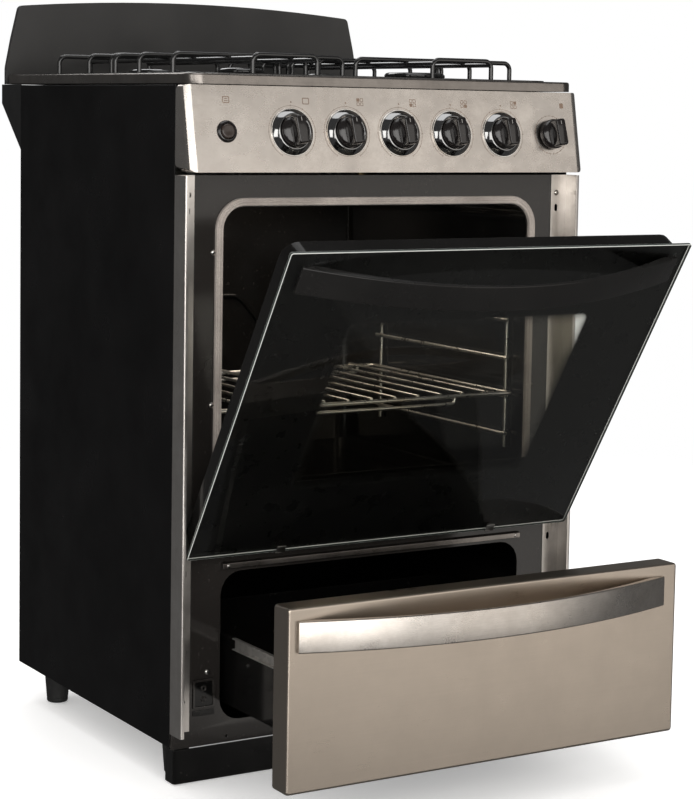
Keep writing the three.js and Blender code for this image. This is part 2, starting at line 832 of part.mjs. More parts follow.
// Pressed pan behind the glass; its lower edge slopes to clear the frame as the door swings.
function doorPan(inset) {
  const half = 266 - inset;
  const yBack = DOOR_FACE + DOOR.depth - inset;
  const yFront = DOOR_FACE + DOOR.glass + GAP - (inset > 0 ? 5 : 0);
  const low = -14 + inset * 1.2;
  const faceShape = outline([
    [-half, low - 2],
    [half, low - 2],
    [half, DOOR_TOP - 6 - inset, 20],
    [-half, DOOR_TOP - 6 - inset, 20],
  ]);
  const profile = outline([
    [yFront, low],
    [DOOR_FACE + DOOR.glass + GAP, low],
    [yBack, low + 12],
    [yBack, DOOR_TOP],
    [yFront, DOOR_TOP],
  ]);
  return overlapOf(front(faceShape, yFront, yBack), side(profile, -half - 5, half + 5));
}

function doorShell() {
  const yInside = DOOR_FACE + DOOR.depth;
  const window = rectangle(-WINDOW.half, WINDOW.bottom, WINDOW.half, WINDOW.top, 10, 4);
  let shell = cut(doorPan(0), doorPan(SHEET), front(window, yInside - 5, yInside + 5));
  for (const sign of [-1, 1]) {
    const x = sign * HINGE.bracketX;
    const lugs = block(x - 7, x + 7, DOOR_FACE + DOOR.glass + 1, yInside - 0.6, -9, 13);
    const slot = block(x - 3.5, x + 3.5, DOOR_FACE + DOOR.glass, yInside + 5, -30, 15);
    const pin = block(-4, 4, -2.1, 2.1, -2.1, 2.1).translate(x, 0, 0);
    shell = join(cut(join(shell, lugs), slot), pin);
  }
  const trimBelow = side(outline([[-20, -40], [40, -40], [40, 40], [yInside, -2], [-7.7, -14]]), -300, 300);
  return cut(shell, trimBelow);
}

function innerGlass() {
  const grow = 7;
  const yBack = DOOR_FACE + DOOR.depth - SHEET - GAP;
  const shape = rectangle(
    -WINDOW.half - grow,
    WINDOW.bottom - grow,
    WINDOW.half + grow,
    WINDOW.top + grow,
    10,
    4,
  );
  return front(shape, yBack - 3, yBack);
}

// ---- Assembly ----

const range = new THREE.Group();

function piece(name, geometry, material, parent = range) {
  const mesh = new THREE.Mesh(geometry, material());
  mesh.name = name;
  parent.add(mesh);
  return mesh;
}

for (const [word, sign] of [['left', -1], ['right', 1]]) {
  piece(`side_panel_${word}`, sidePanel(sign), blackPaint);
  piece(`side_trim_${word}`, sideTrim(sign), stainless);
  piece(`rack_guide_${word}`, rackGuide(sign), chrome);
  piece(`hinge_bracket_${word}`, hingeBracket(sign), galvanised);
  piece(`pan_grate_${word}`, grate(sign), blackEnamel);
  piece(`foot_front_${word}`, foot(), blackPlastic).position.set(sign * 248, 46, 0);
  piece(`foot_rear_${word}`, foot(), blackPlastic).position.set(sign * 248, 398, 0);
}

piece('back_panel', backPanel(), galvanised);
piece('base_pan', basePan(), galvanised);
piece('kick_plate', kickPlate(), blackEnamel);
piece('front_frame', frontFrame(), blackEnamel);
piece('rear_bracket', rearBracket(), blackPaint);
piece('control_panel', controlPanel(), stainless);
piece('gas_manifold', gasManifold(), brass);
piece('cooktop', cooktop(), stainless);
piece('hob_tray', hobTray(), blackEnamel);
piece('backguard', backguard(), blackPaint);
piece('oven_liner', ovenLiner(), blackEnamel);
piece('oven_gasket', ovenGasket(), sealCord);
piece('oven_floor', ovenFloor(), blackEnamel);
piece('oven_burner', ovenBurner(), galvanised);
piece('oven_rack', ovenRack(), chrome);
piece('drip_rail', dripRail(), stainless);
piece('drawer_well', drawerWell(), blackPaint);

for (const { name, x, y, radius } of BURNERS) {
  piece(`burner_head_${name}`, burnerHead(radius), aluminium).position.set(x, y, 0);
  piece(`burner_cap_${name}`, burnerCap(radius), blackEnamel).position.set(x, y, 0);
}

for (let index = 0; index < GAS_KNOBS; index += 1) {
  const station = faceStation(knobX(index));
  piece(`knob_stem_${index + 1}`, knobStem(), brass, station);
  piece(`knob_${index + 1}`, gasKnob(), blackPlastic, station);
  range.add(station);
}

const timerStation = faceStation(knobX(GAS_KNOBS));
piece('timer_knob', timerKnob(), blackPlastic, timerStation);
const buttonStation = faceStation(BUTTON_X);
piece('ignition_button', ignitionButton(), blackPlastic, buttonStation);
range.add(timerStation, buttonStation);

const door = new THREE.Group();
door.position.set(0, HINGE.y, HINGE.z);
door.rotation.x = THREE.MathUtils.degToRad(DOOR_AJAR);
piece('door_glass', doorGlass(), blackGlass, door);
piece('door_shell', doorShell(), blackEnamel, door);
piece('door_inner_glass', innerGlass(), clearGlass, door);
piece('door_handle', bowedHandle(DOOR_HANDLE, DOOR_FACE), blackPaint, door);

const drawer = new THREE.Group();
drawer.position.y = -DRAWER_OUT;
piece('drawer_front', drawerFront(), stainless, drawer);
piece('drawer_tub', drawerTub(), blackPaint, drawer);
piece('drawer_runner_left', drawerRunner(-1), galvanised, drawer);
piece('drawer_runner_right', drawerRunner(1), galvanised, drawer);
const drawerHandle = bowedHandle(DRAWER_HANDLE, DRAWER.front);
piece('drawer_handle', drawerHandle, stainless, drawer).position.x = DRAWER_HANDLE.shift;

range.add(door, drawer);

// Centre the resting range over the origin, from the drawer handle to the rear bracket.
const foremost = DRAWER.front - DRAWER_OUT - GAP - DRAWER_HANDLE.thickness - DRAWER_HANDLE.bow;
range.position.y = -(foremost + REAR_REACH) / 2;

const group = new THREE.Group();
group.add(range);
export default group;
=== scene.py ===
import math

import bmesh
import bpy
from mathutils import Matrix, Vector


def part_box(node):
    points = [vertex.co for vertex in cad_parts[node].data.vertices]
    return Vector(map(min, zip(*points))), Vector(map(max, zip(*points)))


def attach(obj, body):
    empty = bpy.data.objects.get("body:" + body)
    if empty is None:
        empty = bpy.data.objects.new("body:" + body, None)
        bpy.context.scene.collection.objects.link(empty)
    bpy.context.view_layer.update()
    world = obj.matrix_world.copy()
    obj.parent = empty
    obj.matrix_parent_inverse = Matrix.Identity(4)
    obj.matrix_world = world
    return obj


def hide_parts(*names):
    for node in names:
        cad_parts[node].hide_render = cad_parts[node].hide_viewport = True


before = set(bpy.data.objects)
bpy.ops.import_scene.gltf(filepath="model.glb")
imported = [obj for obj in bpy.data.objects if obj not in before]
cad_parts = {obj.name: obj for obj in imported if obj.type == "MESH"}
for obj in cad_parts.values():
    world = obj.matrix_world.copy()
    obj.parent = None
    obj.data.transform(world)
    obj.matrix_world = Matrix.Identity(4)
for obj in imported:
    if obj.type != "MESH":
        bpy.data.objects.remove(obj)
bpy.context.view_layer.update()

# Freestanding gas range. Shapes are drawn in millimetres in a local frame: the cabinet's, the open
# door's, the pulled-out drawer's, or one that lies on a face with Z outward. Each frame's matrix puts
# them in the row frame, in metres.

MM = 0.001
SIDES = (("left", -1), ("right", 1))

# ---- Local frames ----

CABINET_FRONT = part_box("side_panel_left")[0].y
CABINET = Matrix.Translation((0, CABINET_FRONT, 0)) @ Matrix.Scale(MM, 4)

PANEL_LEAN = math.atan2(18.5, 100)
PANEL_FACE = -29.34
KNOB_HEIGHT = 768.8
HINGE = (0, -26, 295.3)
DOOR_AJAR = math.radians(32.16)
DRAWER_OUT = 216.2
DOOR = CABINET @ Matrix.Translation(HINGE) @ Matrix.Rotation(DOOR_AJAR, 4, "X")
DRAWER = CABINET @ Matrix.Translation((0, -DRAWER_OUT, 0))


def station(node):
    """On the leaning panel face under a knob or button: X right, Y up the face, Z outward."""
    low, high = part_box(node)
    place = Matrix.Translation(((low.x + high.x) / 2 / MM, PANEL_FACE, KNOB_HEIGHT))
    return CABINET @ place @ Matrix.Rotation(math.pi / 2 - PANEL_LEAN, 4, "X")


# ---- Camera ----

CAMERA_PLACE = Vector((-1.39975, -2.3376, 0.79602))
CAMERA_AZIMUTH = math.radians(-31.29)
CAMERA_ELEVATION = math.radians(5.29)
CAMERA_ROLL = math.radians(0.97)
CAMERA_LENS = 97.48
CAMERA_SHIFT = -0.112


def make_camera():
    """At the photograph's viewing angle, in metres."""
    sin_a, cos_a = math.sin(CAMERA_AZIMUTH), math.cos(CAMERA_AZIMUTH)
    sin_e, cos_e = math.sin(CAMERA_ELEVATION), math.cos(CAMERA_ELEVATION)
    back = Vector((sin_a * cos_e, -cos_a * cos_e, sin_e))
    level = Vector((cos_a, sin_a, 0))
    above = back.cross(level)
    right = level * math.cos(CAMERA_ROLL) + above * math.sin(CAMERA_ROLL)
    up = above * math.cos(CAMERA_ROLL) - level * math.sin(CAMERA_ROLL)
    data = bpy.data.cameras.new("camera")
    data.lens = CAMERA_LENS
    data.sensor_width = 36
    data.shift_y = CAMERA_SHIFT
    data.clip_start = 0.05
    camera = bpy.data.objects.new("camera", data)
    turned = Matrix((right, up, back)).transposed().to_4x4()
    camera.matrix_world = Matrix.Translation(CAMERA_PLACE) @ turned
    bpy.context.scene.collection.objects.link(camera)
    bpy.context.scene.camera = camera


make_camera()

# ---- Materials ----

# A Mix node's sockets for colours: factor and the two colours, and the result.
MIX_INPUTS = (0, 6, 7)
MIX_COLOUR = 2


class Look:
    """A material and the nodes that feed its shader."""

    def __init__(self, name, **values):
        self.material = bpy.data.materials.new(name)
        self.material.use_nodes = True
        self.tree = self.material.node_tree
        self.shader = self.tree.nodes["Principled BSDF"]
        self.set(self.shader, values)
        self.place = self.node("ShaderNodeTexCoord").outputs["Object"]

    def put(self, socket, value):
        """Links a socket to another, or sets its value."""
        if isinstance(value, bpy.types.NodeSocket):
            self.tree.links.new(value, socket)
        elif socket.type == "RGBA":
            socket.default_value = (*value, 1)
        else:
            socket.default_value = value

    def set(self, node, values):
        for key, value in values.items():
            self.put(node.inputs[key.replace("_", " ")], value)

    def node(self, kind, settings=None, **values):
        made = self.tree.nodes.new(kind)
        for key, value in (settings or {}).items():
            setattr(made, key, value)
        self.set(made, values)
        return made

    def noise(self, scale, detail=3.0, stretch=(1, 1, 1), roughness=0.55):
        place = self.node("ShaderNodeMapping", Vector=self.place, Scale=stretch).outputs[0]
        made = self.node("ShaderNodeTexNoise", Vector=place, Scale=scale, Detail=detail, Roughness=roughness)
        return made.outputs["Fac"]

    def cells(self, scale):
        return self.node("ShaderNodeTexVoronoi", Vector=self.place, Scale=scale)

    def ramp(self, fac, low, high, start, end):
        """Maps low..high to start..end, and stops there."""
        limits = {"From Min": low, "From Max": high, "To Min": start, "To Max": end}
        return self.node("ShaderNodeMapRange", Value=fac, **limits).outputs[0]

    def blend(self, fac, first, second):
        made = self.node("ShaderNodeMix", {"data_type": "RGBA"})
        for index, value in zip(MIX_INPUTS, (fac, first, second)):
            self.put(made.inputs[index], value)
        return made.outputs[MIX_COLOUR]

    def math(self, operation, *values):
        made = self.node("ShaderNodeMath", {"operation": operation})
        for socket, value in zip(made.inputs, values):
            self.put(socket, value)
        return made.outputs[0]

    def mixture(self, first, share, second, other_share):
        """The sum of two values, each times its share."""
        scaled = self.math("MULTIPLY", first, share), self.math("MULTIPLY", second, other_share)
        return self.math("ADD", *scaled)

    def bump(self, height, strength, distance):
        made = self.node("ShaderNodeBump", Height=height, Strength=strength, Distance=distance)
        self.tree.links.new(made.outputs[0], self.shader.inputs["Normal"])

    def worn_edges(self):
        """Near 1 along edges, broken up by fine noise."""
        rounded_off = self.node("ShaderNodeBevel", {"samples": 3}, Radius=0.9 * MM).outputs[0]
        flat = self.node("ShaderNodeNewGeometry").outputs["Normal"]
        same = self.node("ShaderNodeVectorMath", {"operation": "DOT_PRODUCT"})
        self.tree.links.new(rounded_off, same.inputs[0])
        self.tree.links.new(flat, same.inputs[1])
        edge = self.ramp(same.outputs["Value"], 0.985, 0.85, 0.0, 1.0)
        return self.math("MULTIPLY", edge, self.ramp(self.noise(160, 3), 0.4, 0.62, 0.0, 1.0))

    def feed(self, **values):
        self.set(self.shader, values)
        return self.material


def stainless(name, light, dark, grain=(1.2, 60, 60), roughness=(0.24, 0.4), streak=0.12, relief=0.08):
    """Brushed sheet: long streaks, cloudy stains and wiped smudges."""
    look = Look(name, Metallic=1.0)
    streaks = look.noise(9, 5, grain, 0.7)
    fine = look.noise(34, 4, grain, 0.75)
    clouds = look.noise(9, 5, roughness=0.6)
    mottle = look.noise(60, 4, roughness=0.65)
    stain = look.mixture(clouds, 0.62, mottle, 0.38)
    colour = look.blend(look.ramp(stain, 0.36, 0.66, 0.0, 1.0), light, dark)
    deeper = tuple(value * 0.8 for value in dark)
    streaked = look.math("MULTIPLY", look.ramp(streaks, 0.35, 0.75, 0.0, 1.0), streak * 3)
    colour = look.blend(streaked, colour, deeper)
    low, high = roughness
    smudge = look.mixture(look.noise(22, 3), 0.6, fine, 0.4)
    look.bump(look.mixture(fine, 1.0, clouds, 0.3), relief, 0.0003)
    return look.feed(Base_Color=colour, Roughness=look.ramp(smudge, 0.34, 0.68, low, high))


def black_coat(name, colour, roughness, dust, grain=700.0, bump=0.12, specular=0.4):
    """Paint or enamel: fine orange peel, dust specks and rubbed patches."""
    look = Look(name, Specular_IOR_Level=specular)
    specks = look.ramp(look.noise(240, 2, roughness=0.8), 0.66, 0.78, 0.0, 0.5)
    patches = look.ramp(look.noise(5, 4), 0.4, 0.7, 0.0, 0.55)
    edges = look.worn_edges()
    shade = look.blend(patches, colour, tuple(min(1, value * 1.7 + 0.002) for value in colour))
    shade = look.blend(specks, shade, dust)
    shade = look.blend(look.math("MULTIPLY", edges, 0.3), shade, (0.14, 0.13, 0.12))
    look.bump(look.noise(grain, 3), bump, 0.0002)
    smears = look.ramp(look.noise(12, 4), 0.35, 0.7, roughness * 0.8, roughness * 1.3)
    return look.feed(Base_Color=shade, Roughness=smears)


def zinc(name, colour):
    """Galvanised sheet with spangles."""
    look = Look(name, Metallic=0.9)
    spangle = look.cells(120).outputs["Color"]
    grey = look.node("ShaderNodeSeparateColor", Color=spangle).outputs[0]
    dull = tuple(value * 0.62 for value in colour)
    tarnish = tuple(value * 0.4 for value in colour)
    shade = look.blend(look.ramp(grey, 0.0, 1.0, 0.1, 0.75), colour, dull)
    shade = look.blend(look.ramp(look.noise(14, 4), 0.45, 0.7, 0.0, 0.5), shade, tarnish)
    look.bump(look.noise(300, 3), 0.08, 0.0002)
    return look.feed(Base_Color=shade, Roughness=look.ramp(grey, 0.0, 1.0, 0.32, 0.54))


def wire_metal(name, colour, stain, roughness=0.1):
    """Bright wire or turned metal with burnt or tarnished stretches."""
    look = Look(name, Metallic=1.0)
    burnt = look.ramp(look.noise(26, 4), 0.45, 0.72, 0.0, 0.8)
    look.bump(look.noise(420, 3), 0.06, 0.0002)
    rough = look.ramp(look.noise(70, 3), 0.3, 0.7, roughness, roughness + 0.16)
    return look.feed(Base_Color=look.blend(burnt, colour, stain), Roughness=rough)


def cast_metal(name, colour, stain):
    """Pitted casting with soot."""
    look = Look(name, Metallic=0.9)
    pits = look.noise(380, 5, roughness=0.7)
    soot = look.ramp(look.noise(30, 4), 0.42, 0.7, 0.0, 0.8)
    look.bump(pits, 0.35, 0.0004)
    rough = look.ramp(pits, 0.3, 0.7, 0.38, 0.63)
    return look.feed(Base_Color=look.blend(soot, colour, stain), Roughness=rough)


def moulded(name, colour, roughness=0.16, scratch=0.05, gloss=0.5, coat=0.0, ior=1.49):
    """Glossy moulded plastic with hair scratches and a little dust."""
    look = Look(name, IOR=ior, Specular_IOR_Level=gloss, Coat_Weight=coat, Coat_Roughness=0.06)
    scratches = look.noise(50, 4, (1, 14, 3), 0.7)
    dust = look.ramp(look.noise(300, 2, roughness=0.8), 0.64, 0.8, 0.0, 0.35)
    grey = look.blend(look.math("MULTIPLY", look.worn_edges(), 0.2), colour, (0.12, 0.12, 0.12))
    look.bump(scratches, scratch, 0.0002)
    rough = look.ramp(look.noise(45, 4), 0.3, 0.7, roughness * 0.7, roughness * 1.5)
    return look.feed(Base_Color=look.blend(dust, grey, (0.09, 0.085, 0.08)), Roughness=rough)


def braid(name, light, dark):
    """Glass fibre seal with a fine woven surface."""
    look = Look(name, Metallic=0.15, Sheen_Weight=0.2)
    weave = look.cells(900).outputs["Distance"]
    fibres = look.noise(700, 3)
    soil = look.ramp(look.noise(18, 4), 0.4, 0.7, 0.0, 0.7)
    fleck = look.blend(look.ramp(weave, 0.1, 0.6, 0.0, 0.8), light, dark)
    look.bump(look.math("ADD", weave, fibres), 0.5, 0.0006)
    return look.feed(
        Base_Color=look.blend(soil, fleck, tuple(value * 0.7 for value in dark)),
        Roughness=look.ramp(fibres, 0.3, 0.7, 0.42, 0.6),
    )


def clear_glass(name, tint):
    """A pane: what is behind shows through, and the surface mirrors more the flatter it is seen."""
    look = Look(name)
    through = look.node("ShaderNodeBsdfTransparent", Color=tint)
    smears = look.ramp(look.noise(16, 5, (1, 1, 0.5), 0.7), 0.4, 0.75, 0.01, 0.08)
    mirror = look.node("ShaderNodeBsdfGlossy", Color=(1, 1, 1), Roughness=smears)
    facing = look.node("ShaderNodeLayerWeight", Blend=0.5).outputs["Facing"]
    straight_on = 0.04
    grazing = look.math("MULTIPLY", look.math("POWER", facing, 5.0), 1 - straight_on)
    mixed = look.node("ShaderNodeMixShader")
    look.put(mixed.inputs[0], look.math("ADD", grazing, straight_on))
    look.put(mixed.inputs[1], through.outputs[0])
    look.put(mixed.inputs[2], mirror.outputs[0])
    look.put(look.tree.nodes["Material Output"].inputs[0], mixed.outputs[0])
    look.tree.nodes.remove(look.shader)
    return look.material


PANEL_STEEL = stainless("panel_steel", (0.78, 0.73, 0.68), (0.62, 0.57, 0.525), (1, 1.6, 2.2), (0.22, 0.34),
                        0.05, 0.02)
# The rim's steel is much darker than the panel's: painted shade, set to match how dark the cooktop band
# looks.
SHADED_RIM_STEEL = stainless("shaded_rim_steel", (0.36, 0.33, 0.305), (0.23, 0.21, 0.195), (1.2, 60, 60), (0.24, 0.36))
DRAWER_STEEL = stainless("drawer_steel", (0.58, 0.505, 0.43), (0.54, 0.47, 0.4), (1, 80, 80), (0.27, 0.33),
                         0.05, 0.04)
HANDLE_STEEL = stainless("handle_steel", (0.8, 0.75, 0.7), (0.6, 0.55, 0.5), (1, 90, 90), (0.24, 0.36), 0.14)
TRIM_STEEL = stainless("trim_steel", (0.86, 0.82, 0.78), (0.66, 0.62, 0.58), (60, 60, 1), (0.26, 0.4), 0.1)
SIDE_PAINT = black_coat("side_paint", (0.002, 0.0018, 0.0019), 0.34, (0.025, 0.018, 0.012), 900, 0.08, 0.12)
GUARD_PAINT = black_coat("guard_paint", (0.018, 0.0175, 0.017), 0.38, (0.05, 0.045, 0.04), 900, 0.1)
DARK_PAINT = black_coat("dark_paint", (0.006, 0.006, 0.006), 0.4, (0.03, 0.028, 0.025), 700, 0.12)
HANDLE_PAINT = black_coat("handle_paint", (0.006, 0.0057, 0.0054), 0.27, (0.03, 0.028, 0.026), 900, 0.08,
                          0.34)
FRAME_ENAMEL = black_coat("frame_enamel", (0.013, 0.0115, 0.0105), 0.13, (0.07, 0.06, 0.055), 160, 0.04, 0.5)
BAY_ENAMEL = black_coat("bay_enamel", (0.0025, 0.0024, 0.0023), 0.12, (0.05, 0.045, 0.04), 110, 0.06, 0.35)
OVEN_ENAMEL = black_coat("oven_enamel", (0.0035, 0.0033, 0.0031), 0.14, (0.05, 0.045, 0.04), 90, 0.06, 0.22)
HOB_ENAMEL = black_coat("hob_enamel", (0.008, 0.008, 0.008), 0.12, (0.06, 0.055, 0.05), 120, 0.06, 0.5)
WIRE_ENAMEL = black_coat("wire_enamel", (0.008, 0.008, 0.008), 0.08, (0.06, 0.055, 0.05), 300, 0.05, 0.8)
ZINC = zinc("zinc", (0.62, 0.6, 0.57))
CHROME = wire_metal("chrome", (0.82, 0.8, 0.77), (0.45, 0.36, 0.27))
RACK_CHROME = wire_metal("rack_chrome", (0.92, 0.9, 0.87), (0.72, 0.64, 0.55), 0.24)
BOLT_STEEL = wire_metal("bolt_steel", (0.7, 0.68, 0.65), (0.4, 0.36, 0.32), 0.22)
BURNER_METAL = cast_metal("burner_metal", (0.5, 0.49, 0.47), (0.2, 0.18, 0.16))
BRASS = wire_metal("brass_metal", (0.72, 0.53, 0.26), (0.42, 0.28, 0.13), 0.28)
KNOB_BLACK = moulded("knob_black", (0.008, 0.0068, 0.0066), 0.14, 0.04, 0.5, 0.4)
BEZEL_BLACK = moulded("bezel_black", (0.004, 0.004, 0.004), 0.08, 0.02, 1.0, 1.0, 2.1)
BUTTON_BROWN = moulded("button_brown", (0.028, 0.021, 0.018), 0.2)
FOOT_RUBBER = moulded("foot_rubber", (0.01, 0.01, 0.01), 0.5, 0.2)
CERAMIC = moulded("ceramic", (0.72, 0.69, 0.63), 0.3)
INK = moulded("ink", (0.15, 0.1, 0.07), 0.5)
PALE_INK = moulded("pale_ink", (0.2, 0.19, 0.18), 0.4)
FRIT = moulded("frit", (0.0025, 0.0025, 0.0026), 0.3, 0.02)
SEAL = braid("seal", (0.56, 0.5, 0.46), (0.3, 0.26, 0.23))
GLASS = clear_glass("door_pane", (0.9, 0.9, 0.88))
# Opaque light grey for the pane's bevels: a painted highlight for the bright line along the glass edge.
GLASS_BEVEL_HIGHLIGHT = moulded("glass_bevel_highlight", (0.4, 0.41, 0.395), 0.12)
GLASS_SIDE = moulded("glass_side", (0.02, 0.026, 0.023), 0.1)
INNER_GLASS = clear_glass("inner_pane", (0.95, 0.95, 0.93))

# ---- Outlines ----


def arc(u, v, radius, start, end, steps):
    """Points from one angle to another, both included."""
    angles = [start + (end - start) * step / steps for step in range(steps + 1)]
    return [(u + radius * math.cos(angle), v + radius * math.sin(angle)) for angle in angles]


def rounded(u0, v0, u1, v1, radii, steps=8):
    """Counter-clockwise rectangle with rounded corners, from the lower left one."""
    if not isinstance(radii, (tuple, list)):
        radii = [radii] * 4
    points = []
    for index, (u, v) in enumerate(((u0, v0), (u1, v0), (u1, v1), (u0, v1))):
        radius = radii[index]
        centre_u = u + radius * (1 if u == u0 else -1)
        centre_v = v + radius * (1 if v == v0 else -1)
        start = math.pi + index * math.pi / 2
        points += arc(centre_u, centre_v, radius, start, start + math.pi / 2, steps)
    return points


def rounded_path(corners, steps=6):
    """Points of an open path whose corners [x, y, z, radius] are true arcs."""
    places = [Vector(corner[:3]) for corner in corners]
    points = [places[0]]
    for index in range(1, len(corners) - 1):
        radius = corners[index][3] if len(corners[index]) > 3 else 0
        if radius == 0:
            points.append(places[index])
            continue
        arriving = (places[index] - places[index - 1]).normalized()
        leaving = (places[index + 1] - places[index]).normalized()
        turn = arriving.angle(leaving)
        inward = (leaving - arriving * arriving.dot(leaving)).normalized()
        start = places[index] - arriving * radius * math.tan(turn / 2)
        centre = start + inward * radius
        for step in range(steps + 1):
            angle = turn * step / steps
            points.append(centre - inward * radius * math.cos(angle) + arriving * radius * math.sin(angle))
    points.append(places[-1])
    return points


# ---- Meshes ----

PLANES = {"xy": lambda u, v, w: (u, v, w), "xz": lambda u, v, w: (u, w, v)}


class Shape:
    """Closed meshes, gathered in millimetres in one local frame. A look is a face's material index."""

    def __init__(self):
        self.points = []
        self.faces = []
        self.looks = []

    def add(self, points, faces, look=0):
        base = len(self.points)
        self.points += [Vector(point) for point in points]
        self.faces += [[base + index for index in face] for face in faces]
        self.looks += [look] * len(faces)
        return self

    def loft(self, rings, closed=False, look=0):
        """Skin over rings with equal point counts. An open run of rings gets a cap at each end."""
        count = len(rings[0])
        faces = []
        runs = len(rings) if closed else len(rings) - 1
        for run in range(runs):
            here, there = run * count, (run + 1) % len(rings) * count
            for index in range(count):
                after = (index + 1) % count
                faces.append([here + index, here + after, there + after, there + index])
        if not closed:
            faces.append(list(range(count))[::-1])
            faces.append([(len(rings) - 1) * count + index for index in range(count)])
        return self.add([point for ring in rings for point in ring], faces, look)

    def turned(self, profile, sides=48, at=(0, 0, 0), look=0, ring=False):
        """Turned about Z from (radius, z) pairs. A ring profile closes on itself."""
        rings = []
        for radius, z in profile:
            spots = arc(at[0], at[1], max(radius, 0.01), 0, 2 * math.pi * (1 - 1 / sides), sides - 1)
            rings.append([(u, v, z + at[2]) for u, v in spots])
        return self.loft(rings, ring, look)

    def tube(self, corners, radius, sides=12, steps=6):
        """Round wire along a path of [x, y, z, bend radius] corners."""
        points = rounded_path(corners, steps)
        rings = []
        across = None
        for index, point in enumerate(points):
            along = (points[min(index + 1, len(points) - 1)] - points[max(index - 1, 0)]).normalized()
            if across is None:
                across = along.orthogonal().normalized()
            across = (across - along * across.dot(along)).normalized()
            other = along.cross(across)
            ring = []
            for side in range(sides):
                angle = 2 * math.pi * side / sides
                ring.append(point + (across * math.cos(angle) + other * math.sin(angle)) * radius)
            rings.append(ring)
        return self.loft(rings)

    def slab(self, outline, low, high, plane="xy", look=0):
        """An outline with thickness. plane names the outline's axes."""
        place = PLANES[plane]
        return self.loft([[place(u, v, depth) for u, v in outline] for depth in (low, high)], look=look)

    def band(self, outer, inner, low, high, plane="xy", look=0):
        """A flat ring between two outlines with equal point counts."""
        place = PLANES[plane]
        runs = ((outer, low), (outer, high), (inner, high), (inner, low))
        return self.loft([[place(u, v, depth) for u, v in line] for line, depth in runs], True, look)

    def box(self, x, y, z):
        return self.slab([(x[0], y[0]), (x[1], y[0]), (x[1], y[1]), (x[0], y[1])], *z)


def piece(name, shape, frame_matrix, body, materials, stands_for=(), bevel=0.0, angle=32):
    """Makes the shape an object on a body. Edges sharper than the angle, in degrees, stay crisp."""
    mesh = bpy.data.meshes.new(name)
    mesh.from_pydata([tuple(frame_matrix @ point) for point in shape.points], [], shape.faces)
    mesh.update()
    solid = bmesh.new()
    solid.from_mesh(mesh)
    bmesh.ops.remove_doubles(solid, verts=solid.verts, dist=1e-7)
    bmesh.ops.recalc_face_normals(solid, faces=solid.faces)
    solid.to_mesh(mesh)
    solid.free()
    for material in materials if isinstance(materials, (list, tuple)) else [materials]:
        mesh.materials.append(material)
    if len(mesh.polygons) == len(shape.looks):
        mesh.polygons.foreach_set("material_index", shape.looks)
    mesh.polygons.foreach_set("use_smooth", [True] * len(mesh.polygons))
    mesh.set_sharp_from_angle(angle=math.radians(angle))
    made = bpy.data.objects.new(name, mesh)
    bpy.context.scene.collection.objects.link(made)
    if bevel:
        soften(made, bevel)
    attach(made, body)
    if stands_for:
        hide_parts(*stands_for)


def soften(made, width):
    """Rounds every edge of more than 40 degrees."""
    rounding = made.modifiers.new("edges", "BEVEL")
    rounding.width = width * MM
    rounding.segments = 2
    rounding.limit_method = "ANGLE"
    rounding.angle_limit = math.radians(40)
    rounding.harden_normals = False
    normals = made.modifiers.new("normals", "WEIGHTED_NORMAL")
    normals.weight = 60


def dress(node, material, bevel=0.0):
    """Gives a CAD node its finish, joins its facets and softens its edges."""
    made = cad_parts[node]
    made.data.materials.clear()
    made.data.materials.append(material)
    if "custom_normal" in made.data.attributes:
        made.data.attributes.remove(made.data.attributes["custom_normal"])
    made.data.polygons.foreach_set("use_smooth", [True] * len(made.data.polygons))
    weld = made.modifiers.new("weld", "WELD")
    weld.merge_threshold = 1e-5
    if bevel:
        soften(made, bevel)
    else:
        made.modifiers.new("normals", "WEIGHTED_NORMAL")


# ---- Parts that keep their CAD shape ----

for word, _ in SIDES:
    dress(f"side_panel_{word}", SIDE_PAINT, 0.5)
    dress(f"side_trim_{word}", TRIM_STEEL, 0.4)
    dress(f"hinge_bracket_{word}", ZINC, 0.3)
    dress(f"drawer_runner_{word}", ZINC, 0.3)
dress("back_panel", ZINC)
dress("base_pan", ZINC)
dress("kick_plate", BAY_ENAMEL, 0.5)
dress("front_frame", FRAME_ENAMEL, 0.4)
dress("rear_bracket", DARK_PAINT, 0.5)
dress("control_panel", PANEL_STEEL, 0.6)
dress("cooktop", SHADED_RIM_STEEL)
dress("drip_rail", SHADED_RIM_STEEL, 0.4)
dress("gas_manifold", BRASS)
dress("oven_liner", OVEN_ENAMEL)
dress("oven_floor", OVEN_ENAMEL, 0.4)
dress("oven_burner", BURNER_METAL)
dress("drawer_well", BAY_ENAMEL)
dress("drawer_tub", BAY_ENAMEL, 0.5)
dress("drawer_front", DRAWER_STEEL, 0.3)
dress("door_shell", OVEN_ENAMEL, 0.4)
dress("door_inner_glass", INNER_GLASS)
dress("backguard", GUARD_PAINT, 0.6)
for number in range(1, 6):
    dress(f"knob_stem_{number}", BRASS)

# ---- Feet ----

FOOT_X = 248
FOOT_Y = {"front": 46, "rear": 398}


def foot_shape(place_x, place_y):
    """Tapered rubber foot with a groove above its pad."""
    profile = [(0, 0), (11.6, 0), (13, 0.5), (13.8, 1.6), (14.1, 4), (14.1, 6), (13.7, 6.5), (14.3, 7)]
    profile += [(16.8, 38), (17, 39.6), (17, 44.2), (16.6, 44.7), (0, 44.7)]
    return Shape().turned(profile, 48, (place_x, place_y, 0))


for end, foot_y in FOOT_Y.items():
    for word, sign in SIDES:
        node = f"foot_{end}_{word}"
        piece(f"rubber_{node}", foot_shape(sign * FOOT_X, foot_y), CABINET, "cabinet",
              FOOT_RUBBER, [node])

# ---- Knobs, button and dial marks ----

ETCH = 0.06
ICON_RISE = 37
DIAL_RADIUS = 31.4
TIMER_DIAL_RADIUS = 24
FILLED_SQUARE = {1: None, 2: 2, 3: 0, 4: 1, 5: 3}


